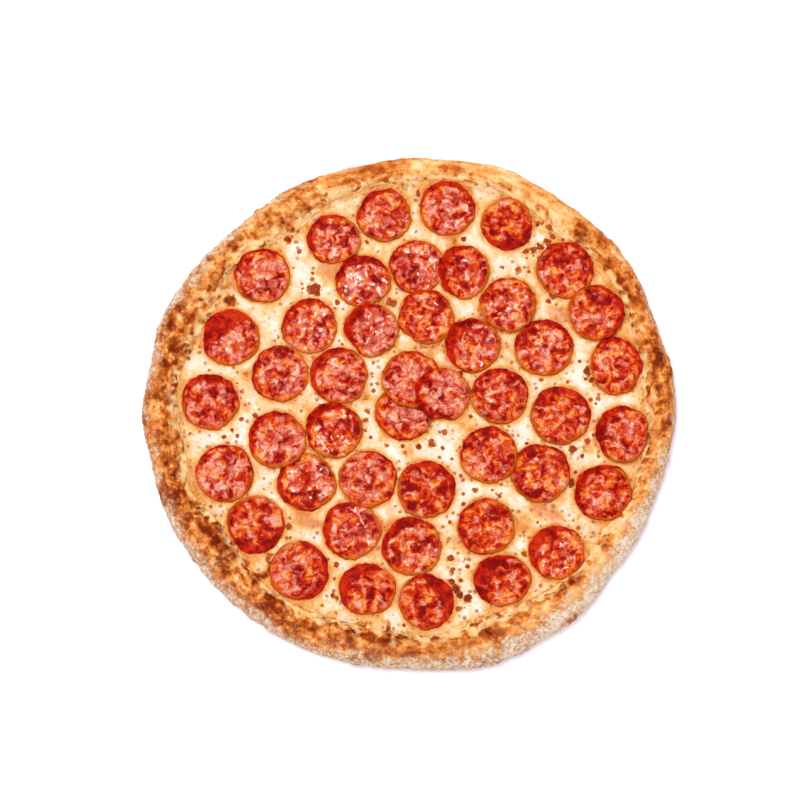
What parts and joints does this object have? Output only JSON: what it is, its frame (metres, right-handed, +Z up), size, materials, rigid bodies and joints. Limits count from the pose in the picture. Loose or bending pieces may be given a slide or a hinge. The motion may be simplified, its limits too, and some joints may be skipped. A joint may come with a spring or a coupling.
{
  "type": "pepperoni pizza",
  "caption": "Whole uncut round pepperoni pizza with a risen, browned crust rim, melted cheese and cupped sausage slices, lying flat as it comes from the oven.",
  "frame": {"origin": "the middle of the pizza's flat base, on the surface it lies on", "axes": "+Z up out of the toppings, +X to the right and -Y towards the eater, as the picture shows it"},
  "size_m": [0.356, 0.3488, 0.0205],
  "materials": {
    "crust": "matt baked dough, browned and floury",
    "cheese": "soft satin melted cheese with toasted specks",
    "sausage": "greasy satin cured sausage"
  },
  "bodies": {
    "root": {"crust": "crust", "cheese": "cheese", "pepperoni_01": "sausage", "pepperoni_02": "sausage", "pepperoni_03": "sausage", "pepperoni_04": "sausage", "pepperoni_05": "sausage", "pepperoni_06": "sausage", "pepperoni_07": "sausage", "pepperoni_08": "sausage", "pepperoni_09": "sausage", "pepperoni_10": "sausage", "pepperoni_11": "sausage", "pepperoni_12": "sausage", "pepperoni_13": "sausage", "pepperoni_14": "sausage", "pepperoni_15": "sausage", "pepperoni_16": "sausage", "pepperoni_17": "sausage", "pepperoni_18": "sausage", "pepperoni_19": "sausage", "pepperoni_20": "sausage", "pepperoni_21": "sausage", "pepperoni_22": "sausage", "pepperoni_23": "sausage", "pepperoni_24": "sausage", "pepperoni_25": "sausage", "pepperoni_26": "sausage", "pepperoni_27": "sausage", "pepperoni_28": "sausage", "pepperoni_29": "sausage", "pepperoni_30": "sausage", "pepperoni_31": "sausage", "pepperoni_32": "sausage", "pepperoni_33": "sausage", "pepperoni_34": "sausage", "pepperoni_35": "sausage", "pepperoni_36": "sausage", "pepperoni_37": "sausage", "pepperoni_38": "sausage", "pepperoni_39": "sausage", "pepperoni_40": "sausage", "pepperoni_41": "sausage", "pepperoni_42": "sausage", "pepperoni_43": "sausage", "pepperoni_44": "sausage", "pepperoni_45": "sausage"}
  },
  "joints": []
}
